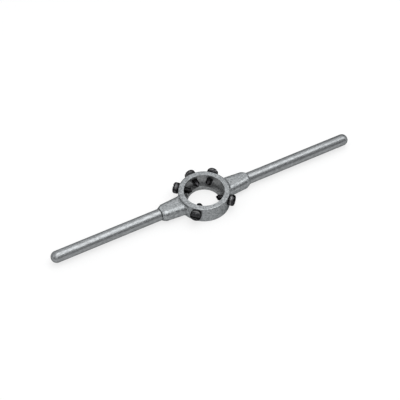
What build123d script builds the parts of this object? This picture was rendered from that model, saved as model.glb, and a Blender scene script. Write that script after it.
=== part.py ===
from build123d import *
import math
import os

# Die stock handle for round threading dies: a cast ring with two bosses, two screwed-in
# bar handles and five slotted screws that centre, spread and hold the die.
# Millimetres. +X runs along the handles, +Z up the axis of the die seat, and the origin
# is on that axis at the ring's bottom face.

# Die seat and ring
die_diameter = 38.0
die_thickness = 14.0
die_proud = 1.5
seat_clearance = 0.05
lip_thickness = 4.3
lip_opening_diameter = 31.0
ring_diameter = 48.8
seat_mouth_chamfer = 0.5
lip_edge_chamfer = 0.4
ring_top_chamfer = 0.5
ring_bottom_chamfer = 0.8

# Bosses that carry the handles
overall_length = 315.0
handle_height = 8.1
boss_end = 46.2
boss_root_half_width = 9.7
boss_end_half_width = 8.0
boss_half_height = 6.2
boss_corner_radius = 5.3
boss_nose_length = 3.2
boss_nose_radius = 6.3
boss_root_overlap = 3.0

# Bar handles
handle_diameter = 11.2
stub_diameter = 8.0
stub_length = 18.0
stub_chamfer = 0.8
stub_clearance = 0.05
stub_end_gap = 1.0

# Screws
screw_diameter = 6.0
screw_clearance = 0.05
head_diameter = 10.6
head_height = 5.2
head_edge_chamfer = 0.8
slot_width = 1.6
slot_depth = 2.0
clamp_point_angle = 90.0
clamp_point_flat = 1.0
clamp_length = 13.0
spread_point_angle = 60.0
spread_point_flat = 2.0
spread_length = 13.3

# How far each screw's head stands off the ring at rest
spreading_stand_off = 0.3
closing_left_stand_off = 0.4
closing_right_stand_off = 0.8
clamping_left_stand_off = 0.7
clamping_right_stand_off = 0.2

# Azimuth of each screw, its stand-off and the turn of its slot
screw_places = {
    "spreading_screw": (90.0, spreading_stand_off, 25.0),
    "closing_screw_left": (135.0, closing_left_stand_off, 70.0),
    "closing_screw_right": (45.0, closing_right_stand_off, -35.0),
    "clamping_screw_left": (225.0, clamping_left_stand_off, 0.0),
    "clamping_screw_right": (315.0, clamping_right_stand_off, 80.0),
}

ring_radius = ring_diameter / 2
seat_radius = die_diameter / 2 + seat_clearance
lip_radius = lip_opening_diameter / 2
ring_height = lip_thickness + die_thickness - die_proud
screw_height = lip_thickness + die_thickness / 2

from_base = (Align.CENTER, Align.CENTER, Align.MIN)


def turned(points):
    # Solid turned about +Z from the (radius, height) points of its outline.
    outline = Polyline([(radius, 0, height) for radius, height in points], close=True)
    return revolve(make_face(outline), Axis.Z)


def along_handles(x):
    # Plane square to the handles' axis at x, with +Z along +X.
    return Plane(origin=(x, 0, handle_height), x_dir=(0, 1, 0), z_dir=(1, 0, 0))


def make_boss():
    # Tapered block with rounded edges. It starts inside the ring's wall, so its plan is extended back.
    root = ring_radius - boss_root_overlap
    taper = (boss_root_half_width - boss_end_half_width) / (boss_end - ring_radius)
    root_half_width = boss_root_half_width + taper * boss_root_overlap
    plan = Polyline(
        (root, root_half_width),
        (root, -root_half_width),
        (boss_end, -boss_end_half_width),
        (boss_end, boss_end_half_width),
        close=True,
    )
    body = Pos(0, 0, handle_height) * extrude(make_face(plan), boss_half_height, both=True)
    body = fillet(body.edges().sort_by(SortBy.LENGTH)[-4:], boss_corner_radius)
    # The outer end is turned to a short cone, down to the handle's shoulder.
    length = boss_end - root
    slope = (boss_end_half_width - boss_nose_radius) / boss_nose_length
    cone = Cone(boss_nose_radius + slope * length, boss_nose_radius, length, align=from_base)
    return body & (along_handles(root) * cone)


def die_space():
    # Room for the die above the lip, and the opening through the lip, with their chamfers.
    return turned([
        (0, 0),
        (lip_radius, 0),
        (lip_radius, lip_thickness - lip_edge_chamfer),
        (lip_radius + lip_edge_chamfer, lip_thickness),
        (seat_radius, lip_thickness),
        (seat_radius, ring_height - seat_mouth_chamfer),
        (seat_radius + seat_mouth_chamfer, ring_height),
        (0, ring_height),
    ])


def radial_plane(azimuth, radius):
    # Plane square to a radius of the ring at the screws' height, +Z pointing outward.
    angle = math.radians(azimuth)
    return Plane(
        origin=(radius * math.cos(angle), radius * math.sin(angle), screw_height),
        x_dir=(-math.sin(angle), math.cos(angle), 0),
        z_dir=(math.cos(angle), math.sin(angle), 0),
    )


def make_holder():
    ring = Cylinder(ring_radius, ring_height, align=from_base)
    ring = chamfer(ring.edges().sort_by(Axis.Z)[-1], ring_top_chamfer)
    ring = chamfer(ring.edges().sort_by(Axis.Z)[0], ring_bottom_chamfer)
    boss = make_boss()
    bosses = boss + mirror(boss, about=Plane.YZ)
    holder = ring + bosses
    holder -= die_space()

    screw_hole = Cylinder(screw_diameter / 2 + screw_clearance, ring_radius, align=from_base)
    for azimuth, _, _ in screw_places.values():
        holder -= radial_plane(azimuth, lip_radius) * screw_hole
    stub_hole = Cylinder(stub_diameter / 2 + stub_clearance, stub_length + stub_end_gap, align=from_base)
    stub_hole = along_handles(boss_end - stub_length - stub_end_gap) * stub_hole
    return holder - stub_hole - mirror(stub_hole, about=Plane.YZ)


def make_handle():
    # Round bar with a ball end outward and a stub that screws into the boss.
    radius = handle_diameter / 2
    stub_radius = stub_diameter / 2
    length = overall_length / 2 - boss_end
    shoulder = Polyline(
        (0, 0, length),
        (0, 0, -stub_length),
        (stub_radius - stub_chamfer, 0, -stub_length),
        (stub_radius, 0, stub_chamfer - stub_length),
        (stub_radius, 0, 0),
        (radius, 0, 0),
        (radius, 0, length - radius),
    )
    diagonal = radius * math.sqrt(0.5)
    ball = ThreePointArc(
        (radius, 0, length - radius),
        (diagonal, 0, length - radius + diagonal),
        (0, 0, length),
    )
    bar = revolve(make_face(shoulder + ball), Axis.Z)
    return along_handles(boss_end) * bar


def make_screw(length, point_angle, point_flat, slot_turn):
    # Local +Z points out of the ring and z = 0 is the underside of the head.
    radius = screw_diameter / 2
    head_radius = head_diameter / 2
    point_length = (radius - point_flat / 2) / math.tan(math.radians(point_angle / 2))
    screw = turned([
        (0, -length),
        (point_flat / 2, -length),
        (radius, point_length - length),
        (radius, 0),
        (head_radius, 0),
        (head_radius, head_height - head_edge_chamfer),
        (head_radius - head_edge_chamfer, head_height),
        (0, head_height),
    ])
    slot = Pos(0, 0, head_height) * Box(head_diameter, slot_width, 2 * slot_depth)
    return screw - Rot(0, 0, slot_turn) * slot


def make_screws():
    screws = {}
    for name, (azimuth, stand_off, slot_turn) in screw_places.items():
        if name == "spreading_screw":
            screw = make_screw(spread_length, spread_point_angle, spread_point_flat, slot_turn)
        else:
            screw = make_screw(clamp_length, clamp_point_angle, clamp_point_flat, slot_turn)
        screws[name] = radial_plane(azimuth, ring_radius + stand_off) * screw
    return screws


handle_right = make_handle()
parts = {
    "holder": make_holder(),
    "handle_left": mirror(handle_right, about=Plane.YZ),
    "handle_right": handle_right,
}
parts.update(make_screws())

os.makedirs("parts", exist_ok=True)
for name, solid in parts.items():
    export_step(solid, f"parts/{name}.step")
    print(name, round(solid.volume), "mm3")
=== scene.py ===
import math

import bmesh
import bpy
from mathutils import Matrix, Vector


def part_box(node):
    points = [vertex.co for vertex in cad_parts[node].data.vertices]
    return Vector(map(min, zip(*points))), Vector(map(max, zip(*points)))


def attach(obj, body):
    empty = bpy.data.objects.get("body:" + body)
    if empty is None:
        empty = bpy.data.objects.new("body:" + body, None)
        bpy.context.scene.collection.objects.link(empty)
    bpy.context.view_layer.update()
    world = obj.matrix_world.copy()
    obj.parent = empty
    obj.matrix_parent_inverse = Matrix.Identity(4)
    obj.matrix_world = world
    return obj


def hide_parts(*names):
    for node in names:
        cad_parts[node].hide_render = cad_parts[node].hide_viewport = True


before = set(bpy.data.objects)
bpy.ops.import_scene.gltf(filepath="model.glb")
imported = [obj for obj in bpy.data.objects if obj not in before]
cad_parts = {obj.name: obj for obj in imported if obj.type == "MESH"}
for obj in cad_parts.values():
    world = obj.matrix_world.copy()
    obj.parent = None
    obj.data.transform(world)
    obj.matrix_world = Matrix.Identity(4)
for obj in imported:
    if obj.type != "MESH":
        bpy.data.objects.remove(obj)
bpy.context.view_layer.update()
scene = bpy.context.scene
mm = 0.001
print("frame loaded:", len(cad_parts), "nodes")


# Camera, set to the photograph's angle

cameraView = {
    "azimuth": -28.58,  # degrees, 0 looks along +Y
    "elevation": 48.87,
    "distance": 1.392,  # metres from the middle of the ring
    "lens": 133.8,
    "right": -3.87,  # how far the picture's centre lies from the middle of the ring, mm
    "up": -3.44,
    "clipping": (0.01, 50),  # nearest and farthest distance that it sees, metres
}


def makeCamera(view):
    azimuth, elevation = math.radians(view["azimuth"]), math.radians(view["elevation"])
    back = Vector((
        math.sin(azimuth) * math.cos(elevation),
        -math.cos(azimuth) * math.cos(elevation),
        math.sin(elevation),
    ))
    right = Vector((math.cos(azimuth), math.sin(azimuth), 0))
    up = back.cross(right)
    handleLow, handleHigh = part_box("handle_right")
    middle = Vector((0, 0, (handleLow.z + handleHigh.z) / 2))
    target = middle + right * view["right"] * mm + up * view["up"] * mm
    data = bpy.data.cameras.new("camera")
    data.lens = view["lens"]
    data.clip_start, data.clip_end = view["clipping"]
    camera = bpy.data.objects.new("camera", data)
    camera.matrix_world = Matrix.Translation(target + back * view["distance"]) @ Matrix(
        (right, up, back)).transposed().to_4x4()
    scene.collection.objects.link(camera)
    scene.camera = camera


makeCamera(cameraView)
print("camera made")


# Studio: a pale floor, one large lamp overhead, weaker ones all round, and an even world

studio = {
    "floorColour": (0.80, 0.80, 0.80, 1),
    "floorRoughness": 0.9,
    "floorSpecular": 0.1,
    "floorGlow": 0.7,  # share of plain white that the camera and reflections see in the floor
    "floorSize": 12,  # metres
    "worldColour": (0.357, 0.361, 0.366, 1),
    "lamps": {
        "overheadLamp": {"place": (0.11, -0.13, 1.0), "size": (1.15, 0.9), "radiance": 2.64},
        "rearLamp": {"place": (0.35, 0.68, 0.88), "size": (1.2, 0.42), "radiance": 1.15},
        "backLamp": {"place": (0.0, 1.2, 0.42), "size": (1.5, 0.45), "radiance": 0.75},
        "leftLamp": {"place": (-0.92, 0.25, 0.72), "size": (1.0, 0.95), "radiance": 1.06},
        "rightLamp": {"place": (1.0, -0.15, 0.65), "size": (0.9, 0.9), "radiance": 0.88},
        "frontLamp": {"place": (-0.5, -0.85, 0.75), "size": (0.9, 0.9), "radiance": 0.97},
    },
}


def seenDirectly(nodes, links):
    # 1 for rays from the camera, off glossy surfaces and through glass,
    # and 0 for the light that falls on things
    path = nodes.new("ShaderNodeLightPath")
    seen = path.outputs["Is Camera Ray"]
    for name in ("Is Glossy Ray", "Is Transmission Ray"):
        most = nodes.new("ShaderNodeMath")
        most.operation = "MAXIMUM"
        links.new(seen, most.inputs[0])
        links.new(path.outputs[name], most.inputs[1])
        seen = most.outputs[0]
    return seen


def makeFloor(settings):
    material = bpy.data.materials.new("floorPaint")
    material.use_nodes = True
    nodes, links = material.node_tree.nodes, material.node_tree.links
    paint = nodes["Principled BSDF"]
    paint.inputs["Base Color"].default_value = settings["floorColour"]
    paint.inputs["Roughness"].default_value = settings["floorRoughness"]
    paint.inputs["Specular IOR Level"].default_value = settings["floorSpecular"]
    glow = nodes.new("ShaderNodeEmission")
    share = nodes.new("ShaderNodeMath")
    share.operation = "MULTIPLY"
    share.inputs[1].default_value = settings["floorGlow"]
    mix = nodes.new("ShaderNodeMixShader")
    links.new(seenDirectly(nodes, links), share.inputs[0])
    links.new(share.outputs[0], mix.inputs[0])
    links.new(paint.outputs[0], mix.inputs[1])
    links.new(glow.outputs[0], mix.inputs[2])
    links.new(mix.outputs[0], nodes["Material Output"].inputs["Surface"])

    bm = bmesh.new()
    bmesh.ops.create_grid(bm, x_segments=1, y_segments=1, size=settings["floorSize"] / 2)
    mesh = bpy.data.meshes.new("floor")
    bm.to_mesh(mesh)
    bm.free()
    mesh.materials.append(material)
    floor = bpy.data.objects.new("floor", mesh)
    scene.collection.objects.link(floor)


def makeLights(settings):
    world = bpy.data.worlds.new("studioWorld")
    scene.world = world
    world.use_nodes = True
    world.node_tree.nodes["Background"].inputs["Color"].default_value = settings["worldColour"]
    for name, lamp in settings["lamps"].items():
        width, height = lamp["size"]
        data = bpy.data.lights.new(name, "AREA")
        data.shape = "RECTANGLE"
        data.size = width
        data.size_y = height
        data.energy = lamp["radiance"] * math.pi * width * height
        light = bpy.data.objects.new(name, data)
        place = Vector(lamp["place"])
        light.location = place
        light.rotation_euler = place.to_track_quat("Z", "Y").to_euler()
        light.visible_camera = False
        scene.collection.objects.link(light)


makeFloor(studio)
makeLights(studio)
scene.view_settings.view_transform = "Standard"
print("studio made")


# Finishes

finishes = {
    "castMetal": {
        "dark": (0.179, 0.187, 0.192, 1),
        "light": (0.353, 0.369, 0.377, 1),
        "edgeTint": 0.2,
        "metallic": 1,
        "roughness": (0.33, 0.45),
        "patch": 1.6,  # size of the mottles in its colour, mm
        "grain": 0.6,  # size of the casting's grains, mm
        "grainDepth": 0.040,  # mm
    },
    # turned finish of the seat and lip, with real turning rings; its darker colour is painted shade
    # inside the ring
    "turnedShadedMetal": {
        "dark": (0.170, 0.175, 0.177, 1),
        "light": (0.303, 0.311, 0.314, 1),
        "edgeTint": 0.2,
        "metallic": 0.65,
        "roughness": (0.28, 0.40),
        "patch": 1.6,
        "grain": 0.6,
        "grainDepth": 0.010,
        "linePitch": 1.57,  # mm between the rings left by the turning tool
        "lineDepth": 0.004,
        "lineWaver": 0.3,
    },
    "barMetal": {
        "dark": (0.209, 0.217, 0.222, 1),
        "light": (0.314, 0.326, 0.334, 1),
        "edgeTint": 0.2,
        "metallic": 1,
        "roughness": (0.32, 0.40),
        "patch": 1.0,
        "stretch": 3.0,  # how much longer the mottles are along the handle
        "grain": 0.5,
        "grainDepth": 0.010,
    },
    "blackOxide": {
        "dark": (0.019, 0.019, 0.020, 1),
        "light": (0.054, 0.054, 0.057, 1),
        "highlightDark": (0.062, 0.062, 0.063, 1),  # a lighter band painted round the head's side as a highlight
        "highlightLight": (0.170, 0.170, 0.172, 1),
        "edgeTint": 0.1,
        "metallic": 1,
        "roughness": (0.22, 0.34),
        "patch": 1.2,
        "grain": 0.5,
        "grainDepth": 0.014,
    },
}


noise = {
    "range": (0.35, 0.65),  # part of the noise that is spread from the first value to the last
    "patchDetail": 3,
    "smudgeDetail": 2,
    "smudgeSize": 2,  # of the patches in roughness, times those in colour
    "grainDetail": 4,
    "waveUnit": 20,  # a wave texture of scale 1 runs through so many radians in a metre
}


def addNoise(nodes, links, point, size, detail):
    texture = nodes.new("ShaderNodeTexNoise")
    texture.inputs["Scale"].default_value = 1 / (size * mm)
    texture.inputs["Detail"].default_value = detail
    links.new(point, texture.inputs["Vector"])
    return texture.outputs["Fac"]


def addRamp(nodes, links, factor, dark, light):
    ramp = nodes.new("ShaderNodeValToRGB")
    for element, position, colour in zip(ramp.color_ramp.elements, noise["range"], (dark, light)):
        element.position = position
        element.color = colour
    links.new(factor, ramp.inputs["Fac"])
    return ramp.outputs["Color"]


def addRange(nodes, links, factor, low, high):
    spread = nodes.new("ShaderNodeMapRange")
    spread.inputs["From Min"].default_value, spread.inputs["From Max"].default_value = noise["range"]
    spread.inputs["To Min"].default_value = low
    spread.inputs["To Max"].default_value = high
    links.new(factor, spread.inputs["Value"])
    return spread.outputs["Result"]


def addBump(nodes, links, height, depth, under=None):
    bump = nodes.new("ShaderNodeBump")
    bump.inputs["Distance"].default_value = depth * mm
    links.new(height, bump.inputs["Height"])
    if under:
        links.new(under, bump.inputs["Normal"])
    return bump.outputs["Normal"]


def makeFinish(name):
    settings = finishes[name]
    material = bpy.data.materials.new(name)
    material.use_nodes = True
    nodes, links = material.node_tree.nodes, material.node_tree.links
    shader = nodes["Principled BSDF"]
    edgeTint = settings["edgeTint"]
    shader.inputs["Specular Tint"].default_value = (edgeTint, edgeTint, edgeTint, 1)
    shader.inputs["Metallic"].default_value = settings["metallic"]

    point = nodes.new("ShaderNodeTexCoord").outputs["Object"]
    along = point
    if "stretch" in settings:
        mapping = nodes.new("ShaderNodeMapping")
        mapping.inputs["Scale"].default_value = (1 / settings["stretch"], 1, 1)
        links.new(point, mapping.inputs["Vector"])
        along = mapping.outputs["Vector"]
    patches = addNoise(nodes, links, along, settings["patch"], noise["patchDetail"])
    colour = addRamp(nodes, links, patches, settings["dark"], settings["light"])
    if "highlightLight" in settings:  # the piece's own attribute says where the painted highlight band lies
        highlightBand = addRamp(nodes, links, patches, settings["highlightDark"], settings["highlightLight"])
        highlightAmount = nodes.new("ShaderNodeAttribute")
        highlightAmount.attribute_name = "highlightAmount"
        mix = nodes.new("ShaderNodeMixRGB")
        links.new(highlightAmount.outputs["Fac"], mix.inputs["Fac"])
        links.new(colour, mix.inputs["Color1"])
        links.new(highlightBand, mix.inputs["Color2"])
        colour = mix.outputs["Color"]
    links.new(colour, shader.inputs["Base Color"])
    smudgeSize = noise["smudgeSize"] * settings["patch"]
    smudges = addNoise(nodes, links, point, smudgeSize, noise["smudgeDetail"])
    links.new(addRange(nodes, links, smudges, *settings["roughness"]), shader.inputs["Roughness"])

    grains = addNoise(nodes, links, point, settings["grain"], noise["grainDetail"])
    normal = addBump(nodes, links, grains, settings["grainDepth"])
    if "linePitch" in settings:
        rings = nodes.new("ShaderNodeTexWave")
        rings.wave_type = "RINGS"
        rings.rings_direction = "Z"
        radians = 2 * math.pi / (settings["linePitch"] * mm)
        rings.inputs["Scale"].default_value = radians / noise["waveUnit"]
        rings.inputs["Distortion"].default_value = settings["lineWaver"]
        links.new(point, rings.inputs["Vector"])
        normal = addBump(nodes, links, rings.outputs["Fac"], settings["lineDepth"], normal)
    links.new(normal, shader.inputs["Normal"])
    return material


materials = {name: makeFinish(name) for name in finishes}
print("finishes made:", len(materials))


# Shaping, in millimetres until a piece is finished

shaping = {
    "mergeDistance": 0.0005,
    "edgeTolerance": 0.01,  # how near to a line an edge has to be to count as on it
    "wallTolerance": 0.1,  # and how near to a round wall
    "overrun": 1.0,  # how far threads and cutters reach past what they are made for
    "overlap": 0.5,  # how far a stub or a shank reaches into the piece that it joins
    "sharpAngle": 33,  # degrees; edges that turn more than this stay crisp
}


def clean(bm):
    bmesh.ops.remove_doubles(bm, verts=bm.verts, dist=shaping["mergeDistance"])
    bmesh.ops.dissolve_degenerate(bm, edges=bm.edges, dist=shaping["mergeDistance"])
    bmesh.ops.recalc_face_normals(bm, faces=bm.faces)


def turn(outline, steps, closed=False):
    # Solid turned about Z from an outline of (radius, height) points
    bm = bmesh.new()
    verts = [bm.verts.new((radius, 0, height)) for radius, height in outline]
    edges = [bm.edges.new(pair) for pair in zip(verts, verts[1:])]
    if closed:
        edges.append(bm.edges.new((verts[-1], verts[0])))
    bmesh.ops.spin(bm, geom=verts + edges, cent=(0, 0, 0), axis=(0, 0, 1), angle=2 * math.pi,
                   steps=steps, use_merge=True)
    clean(bm)
    return bm


def roundRim(bm, radius, height, size, segments):
    # Bevels the edge that runs round the axis at that radius and height
    near = shaping["edgeTolerance"]
    rim = [edge for edge in bm.edges if all(
        abs(math.hypot(vert.co.x, vert.co.y) - radius) < near and abs(vert.co.z - height) < near
        for vert in edge.verts)]
    bmesh.ops.bevel(bm, geom=rim, offset=size, offset_type="OFFSET", segments=segments, profile=0.5,
                    affect="EDGES", material=-1)


def splitAt(bm, height):
    # Adds a loop of edges at that height
    bmesh.ops.bisect_plane(bm, geom=bm.verts[:] + bm.edges[:] + bm.faces[:], plane_co=(0, 0, height),
                           plane_no=(0, 0, 1))


threadForm = {
    "crestStart": 0.31,  # where the crest starts and ends and the root starts again, in pitches
    "crestEnd": 0.44,
    "rootStart": 0.75,
    "turnsBelow": 1.5,  # turns made below the low end, to be cut off
    "spareTurns": 2,  # turns made in all past the length wanted
}


def makeThread(crest, root, pitch, low, high, steps):
    # Threaded rod about Z, flat at both ends
    bm = bmesh.new()
    profile = (
        (root, 0),
        (crest, threadForm["crestStart"]),
        (crest, threadForm["crestEnd"]),
        (root, threadForm["rootStart"]),
    )
    turns = math.ceil((high - low) / pitch) + threadForm["spareTurns"]
    below = threadForm["turnsBelow"]
    verts = []
    for turnNumber in range(turns):
        base = low + (turnNumber - below) * pitch
        for radius, share in profile:
            verts.append(bm.verts.new((radius, 0, base + share * pitch)))
    verts.append(bm.verts.new((root, 0, low + (turns - below) * pitch)))
    edges = [bm.edges.new(pair) for pair in zip(verts, verts[1:])]
    bmesh.ops.spin(bm, geom=verts + edges, cent=(0, 0, 0), axis=(0, 0, 1), dvec=(0, 0, pitch / steps),
                   angle=2 * math.pi, steps=steps)
    bmesh.ops.remove_doubles(bm, verts=bm.verts, dist=shaping["mergeDistance"])
    for height, side in ((low, -1), (high, 1)):
        bmesh.ops.bisect_plane(bm, geom=bm.verts[:] + bm.edges[:] + bm.faces[:], clear_outer=True,
                               plane_co=(0, 0, height), plane_no=(0, 0, side))
    bmesh.ops.holes_fill(bm, edges=[edge for edge in bm.edges if edge.is_boundary])
    clean(bm)
    return bm


def combine(body, tool, operation):
    # Boolean of two shapes; both are used up
    pieces = []
    for bm in (body, tool):
        mesh = bpy.data.meshes.new("shape")
        bm.to_mesh(mesh)
        bm.free()
        pieces.append(bpy.data.objects.new("shape", mesh))
        scene.collection.objects.link(pieces[-1])
    cut = pieces[0].modifiers.new("cut", "BOOLEAN")
    cut.operation = operation
    cut.solver = "EXACT"
    cut.object = pieces[1]
    result = bmesh.new()
    result.from_object(pieces[0], bpy.context.evaluated_depsgraph_get())
    for piece in pieces:
        mesh = piece.data
        bpy.data.objects.remove(piece)
        bpy.data.meshes.remove(mesh)
    clean(result)
    return result


def alongRadius(azimuth, start):
    # Frame with Z along the radius at that azimuth, from a point on it, and Y straight up
    angle = math.radians(azimuth)
    frameAxes = Matrix((
        (-math.sin(angle), 0, math.cos(angle)),
        (math.cos(angle), 0, math.sin(angle)),
        (0, 1, 0),
    )).to_4x4()
    return Matrix.Translation(start) @ frameAxes


def finishPiece(name, bm, coats, body, node):
    bmesh.ops.scale(bm, vec=(mm, mm, mm), verts=bm.verts)
    mesh = bpy.data.meshes.new(name)
    bm.to_mesh(mesh)
    bm.free()
    mesh.shade_smooth()
    mesh.set_sharp_from_angle(angle=math.radians(shaping["sharpAngle"]))
    for coat in coats:
        mesh.materials.append(materials[coat])
    piece = bpy.data.objects.new(name, mesh)
    scene.collection.objects.link(piece)
    weighted = piece.modifiers.new("weightedNormals", "WEIGHTED_NORMAL")
    weighted.keep_sharp = True
    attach(piece, body)
    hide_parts(node)
    print("made", name, len(mesh.polygons), "faces")


# Handles: round bar with a ball end, a shoulder against the boss and a threaded stub inside it

handle = {
    "steps": 96,
    "ballSegments": 16,
    "ballShare": 0.999,  # of the radius that the ball's round takes; the rest is a tiny flat at its tip
    "shoulderBreak": (0.6, 1),  # size of the round on an edge, and its segments
    "stubLength": 18.0,
    "stubCrest": 3.97,
    "stubRoot": 3.25,
    "stubPitch": 1.25,
    "stubChamfer": 0.8,
    "reliefLength": 1.6,  # plain neck between the thread and the shoulder
    "formGap": 0.05,  # how far the form that trims the thread stays off its crest and root
    "threadSteps": 40,
}


def makeHandle(name, azimuth):
    low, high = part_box(name)
    radius = (high.z - low.z) / mm / 2
    outerEnd = max(abs(low.x), abs(high.x)) / mm
    stubEnd = min(abs(low.x), abs(high.x)) / mm
    shoulder = stubEnd + handle["stubLength"]
    length = outerEnd - shoulder
    bar = turn([(0, 0), (radius, 0), (radius, length), (0, length)], handle["steps"])
    roundRim(bar, radius, 0, *handle["shoulderBreak"])
    roundRim(bar, radius, length, radius * handle["ballShare"], handle["ballSegments"])

    crest, root, chamfer = handle["stubCrest"], handle["stubRoot"], handle["stubChamfer"]
    tip, relief, gap = -handle["stubLength"], handle["reliefLength"], handle["formGap"]
    thread = makeThread(crest, root, handle["stubPitch"], tip - shaping["overrun"], shaping["overrun"],
                        handle["threadSteps"])
    form = turn([
        (0, tip),
        (crest - chamfer, tip),
        (crest + gap, chamfer + gap + tip),
        (crest + gap, -relief - chamfer),
        (root - gap, -relief),
        (root - gap, shaping["overlap"]),
        (0, shaping["overlap"]),
    ], handle["threadSteps"])
    stub = combine(thread, form, "INTERSECT")
    bm = combine(bar, stub, "UNION")
    side = math.cos(math.radians(azimuth))
    place = alongRadius(azimuth, (side * shoulder, 0, (low.z + high.z) / mm / 2))
    bmesh.ops.transform(bm, matrix=place, verts=bm.verts)
    finishPiece(name + "_bar", bm, ["barMetal"], "stock", name)


makeHandle("handle_left", 180)
makeHandle("handle_right", 0)


# Screws: slotted round heads on threaded shanks with cone points

screws = {
    "headHeight": 5.2,
    "rimRound": (1.7, 6),  # size of the round on an edge, and its segments
    "headBreak": (0.6, 3),
    "highlightHeight": 2.2,  # middle of the band painted lighter round the head's side as a highlight
    "highlightWidth": 0.6,
    "highlightFade": 0.7,  # how far the painted highlight fades out on both sides of the band
    "headSteps": 72,
    "slotWidth": 1.6,
    "slotDepth": 2.0,
    "slotBreak": 0.15,
    "slotLength": 3,  # of its cutter, in head radii
    "crest": 2.97,
    "root": 2.38,
    "pitch": 1.0,
    "neckLength": 0.9,
    "formGap": 0.03,
    "threadSteps": 36,
    "points": {"spread": (60, 2.0), "clamp": (90, 1.0)},  # angle of the cone and width of its flat
    "places": {  # azimuth, slot's turn and kind of point
        "spreading_screw": (90, 25, "spread"),
        "closing_screw_left": (135, 70, "clamp"),
        "closing_screw_right": (45, -35, "clamp"),
        "clamping_screw_left": (225, 0, "clamp"),
        "clamping_screw_right": (315, 80, "clamp"),
    },
}


def makeSlot(length):
    # Cutter for a slot along X from z = 0 down; it flares at the mouth, which breaks the slot's edges
    width, depth, flare = screws["slotWidth"], screws["slotDepth"], screws["slotBreak"]
    slot = bmesh.new()
    bmesh.ops.create_cube(slot, size=1)
    bmesh.ops.scale(slot, vec=(length, width, 2 * depth), verts=slot.verts)
    splitAt(slot, -flare)
    for vert in slot.verts:
        if vert.co.z > 0:
            vert.co.y += math.copysign(vert.co.z + flare, vert.co.y)
    return slot


def makeScrew(name, azimuth, slotTurn, point):
    low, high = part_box(name)
    headRadius = (high.z - low.z) / mm / 2
    outward = Vector((math.cos(math.radians(azimuth)), math.sin(math.radians(azimuth)), 0))
    reach = [vert.co.dot(outward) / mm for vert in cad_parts[name].data.vertices]
    underside = max(reach) - screws["headHeight"]
    length = underside - min(reach)

    pointAngle, flat = screws["points"][point]
    crest, root, neck, gap = screws["crest"], screws["root"], screws["neckLength"], screws["formGap"]
    coneLength = (crest + gap - flat / 2) / math.tan(math.radians(pointAngle / 2))
    thread = makeThread(crest, root, screws["pitch"], -length - shaping["overrun"], shaping["overrun"],
                        screws["threadSteps"])
    form = turn([
        (0, -length),
        (flat / 2, -length),
        (crest + gap, coneLength - length),
        (crest + gap, -neck - crest + root),
        (root - gap, -neck),
        (root - gap, shaping["overlap"]),
        (0, shaping["overlap"]),
    ], screws["threadSteps"])
    shank = combine(thread, form, "INTERSECT")

    height = screws["headHeight"]
    head = turn([(0, 0), (headRadius, 0), (headRadius, height), (0, height)], screws["headSteps"])
    roundRim(head, headRadius, 0, *screws["headBreak"])
    roundRim(head, headRadius, height, *screws["rimRound"])
    highlightBand, highlightEdge = screws["highlightHeight"], screws["highlightWidth"] / 2
    fadeEdge = highlightEdge + screws["highlightFade"]
    for level in (highlightBand - fadeEdge, highlightBand - highlightEdge, highlightBand + highlightEdge, highlightBand + fadeEdge):
        splitAt(head, level)
    slot = makeSlot(screws["slotLength"] * headRadius)
    bmesh.ops.rotate(slot, matrix=Matrix.Rotation(math.radians(slotTurn), 3, "Z"), verts=slot.verts)
    bmesh.ops.translate(slot, vec=(0, 0, height), verts=slot.verts)
    bm = combine(combine(head, slot, "DIFFERENCE"), shank, "UNION")

    # A lighter band is painted round the head's side as a highlight
    highlightAmount = bm.verts.layers.float.new("highlightAmount")
    for vert in bm.verts:
        if math.hypot(vert.co.x, vert.co.y) > headRadius - shaping["wallTolerance"]:
            amount = (fadeEdge - abs(vert.co.z - highlightBand)) / screws["highlightFade"]
            vert[highlightAmount] = min(max(amount, 0), 1)

    start = outward * underside
    start.z = (low.z + high.z) / mm / 2
    bmesh.ops.transform(bm, matrix=alongRadius(azimuth, start), verts=bm.verts)
    finishPiece(name + "_turned", bm, ["blackOxide"], name, name)


for screwName, (azimuth, slotTurn, point) in screws["places"].items():
    makeScrew(screwName, azimuth, slotTurn, point)


# Holder: a cast ring with two bosses, turned in the seat and at the ends of the bosses

holder = {
    "seatRadius": 19.05,
    "lipRadius": 15.5,
    "lipThickness": 4.3,
    "ringSteps": 192,
    "ringTop": (1.2, 5),  # size of the round on an edge, and its segments
    "ringBottom": (1.0, 4),
    "seatTop": (0.3, 3),
    "lipTop": (0.4, 3),
    "lipBottom": (0.15, 1),
    "rootDepth": 3.0,  # how far inside the ring's wall a boss starts
    "rootHalfWidth": 9.7,
    "endHalfWidth": 8.0,
    "halfHeight": 6.2,
    "cornerRadius": 5.3,
    "cornerSegments": 10,
    "flatCuts": 9,  # in the flat top and bottom of a boss
    "footRise": 1.8,  # hollow round where a boss leaves the ring, above and below
    "footSide": 1.0,
    "footSegments": 7,
    "noseLength": 3.2,  # turned cone at the boss's end
    "noseRadius": 6.3,
    "noseBreak": (0.3, 2),
    "noseOverrun": 5.0,
    "noseSteps": 96,
    "screwHole": 3.05,
    "screwHoleSpan": (16, 27),  # distances from the ring's axis
    "screwHoleSteps": 40,
    "stubHole": 4.05,
    "stubHoleLength": 19.0,
    "stubHoleSteps": 56,
}


def makeRing(ringRadius, ringHeight):
    seat, lip = holder["seatRadius"], holder["lipRadius"]
    bm = turn([
        (lip, 0),
        (lip, holder["lipThickness"]),
        (seat, holder["lipThickness"]),
        (seat, ringHeight),
        (ringRadius, ringHeight),
        (ringRadius, 0),
    ], holder["ringSteps"], closed=True)
    roundRim(bm, ringRadius, ringHeight, *holder["ringTop"])
    roundRim(bm, seat, ringHeight, *holder["seatTop"])
    roundRim(bm, lip, holder["lipThickness"], *holder["lipTop"])
    roundRim(bm, ringRadius, 0, *holder["ringBottom"])
    roundRim(bm, lip, 0, *holder["lipBottom"])
    return bm


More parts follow.
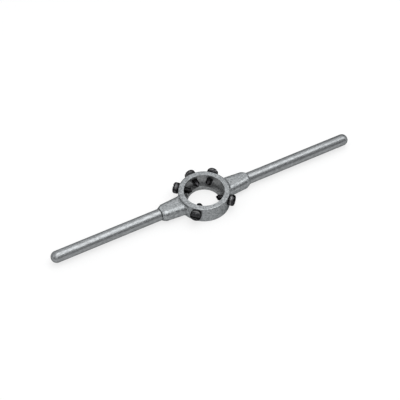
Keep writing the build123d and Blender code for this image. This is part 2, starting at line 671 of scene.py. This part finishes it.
def makeBoss(ringRadius, bossEnd, axisHeight):
    # The section is a rounded rectangle, drawn out from inside the ring's wall to the boss's end
    halfWidth, halfHeight = holder["rootHalfWidth"], holder["halfHeight"]
    corner = holder["cornerRadius"]
    rise, side, footSegments = holder["footRise"], holder["footSide"], holder["footSegments"]
    bm = bmesh.new()
    corners = [bm.verts.new((0, across * halfWidth, up * halfHeight))
               for across, up in ((1, 1), (-1, 1), (-1, -1), (1, -1))]
    bm.faces.new(corners)
    bmesh.ops.bevel(bm, geom=corners, offset=corner, offset_type="OFFSET",
                    segments=holder["cornerSegments"], profile=0.5, affect="VERTICES", material=-1)
    flats = [edge for edge in bm.edges
             if abs(edge.verts[0].co.z - edge.verts[1].co.z) < shaping["edgeTolerance"]]
    bmesh.ops.bisect_edges(bm, edges=flats, cuts=holder["flatCuts"])
    bm.faces.ensure_lookup_table()
    section = bm.faces[0]

    # A station is the share of the foot's round left there and its distance from the ring's wall
    stations = []
    for step in range(footSegments + 1):
        angle = math.radians(90 * step / footSegments)
        stations.append((1 - math.sin(angle), rise * (1 - math.cos(angle))))
    stations.append((0, None))
    before = 1
    for vert in section.verts:
        vert.co.x = ringRadius - holder["rootDepth"]
        vert.co.y *= (halfWidth + side) / halfWidth
        vert.co.z *= (halfHeight + rise) / halfHeight
    for share, stand in stations:
        drawn = bmesh.ops.extrude_face_region(bm, geom=[section])["geom"]
        if stand != 0:  # the first section stays as the boss's inner end
            bmesh.ops.delete(bm, geom=[section], context="FACES_ONLY")
        section = next(item for item in drawn if isinstance(item, bmesh.types.BMFace))
        for vert in section.verts:
            vert.co.y *= (halfWidth + share * side) / (halfWidth + before * side)
            vert.co.z *= (halfHeight + share * rise) / (halfHeight + before * rise)
            wall = math.sqrt(ringRadius ** 2 - vert.co.y ** 2)
            vert.co.x = bossEnd if stand is None else wall + stand
        before = share

    # The boss narrows towards its end
    slope = (halfWidth - holder["endHalfWidth"]) / (bossEnd - ringRadius)
    for vert in bm.verts:
        lost = (vert.co.x - ringRadius) * slope
        share = min(abs(vert.co.y) / (halfWidth - corner), 1)
        vert.co.y -= math.copysign(lost * share, vert.co.y)
    bmesh.ops.translate(bm, vec=(0, 0, axisHeight), verts=bm.verts)
    clean(bm)

    nose = holder["noseRadius"]
    length = bossEnd - ringRadius + holder["noseOverrun"]
    spread = length * (holder["endHalfWidth"] - nose) / holder["noseLength"]
    cone = turn([(0, -length), (nose + spread, -length), (nose, 0), (0, 0)], holder["noseSteps"])
    roundRim(cone, nose, 0, *holder["noseBreak"])
    bmesh.ops.transform(cone, matrix=alongRadius(0, (bossEnd, 0, axisHeight)), verts=cone.verts)
    return combine(bm, cone, "INTERSECT")


def drill(bm, azimuth, height, radius, span, steps):
    # Hole along a radius of the ring, between two distances from the ring's axis
    inner, outer = span
    hole = turn([(0, inner), (radius, inner), (radius, outer), (0, outer)], steps)
    bmesh.ops.transform(hole, matrix=alongRadius(azimuth, (0, 0, height)), verts=hole.verts)
    return combine(bm, hole, "DIFFERENCE")


def makeHolder():
    low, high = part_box("holder")
    ringRadius, ringHeight, bossEnd = high.y / mm, high.z / mm, high.x / mm
    handleLow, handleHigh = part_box("handle_right")
    axisHeight = (handleLow.z + handleHigh.z) / mm / 2
    screwLow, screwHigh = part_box("spreading_screw")
    screwHeight = (screwLow.z + screwHigh.z) / mm / 2

    bm = makeRing(ringRadius, ringHeight)
    for side in (1, -1):
        boss = makeBoss(ringRadius, bossEnd, axisHeight)
        bmesh.ops.scale(boss, vec=(side, 1, 1), verts=boss.verts)
        clean(boss)
        bm = combine(bm, boss, "UNION")
    for azimuth, _, _ in screws["places"].values():
        bm = drill(bm, azimuth, screwHeight, holder["screwHole"], holder["screwHoleSpan"],
                   holder["screwHoleSteps"])
    stubHoleSpan = (bossEnd - holder["stubHoleLength"], bossEnd + shaping["overrun"])
    for azimuth in (0, 180):
        bm = drill(bm, azimuth, axisHeight, holder["stubHole"], stubHoleSpan, holder["stubHoleSteps"])

    # The seat and the lip have the turned finish, whose colour is also painted darker as the shade
    # inside the ring
    for face in bm.faces:
        centre = face.calc_center_median()
        inSeat = math.hypot(centre.x, centre.y) < holder["seatRadius"] + shaping["wallTolerance"]
        face.material_index = 1 if inSeat else 0
    finishPiece("holder_casting", bm, ["castMetal", "turnedShadedMetal"], "stock", "holder")


makeHolder()
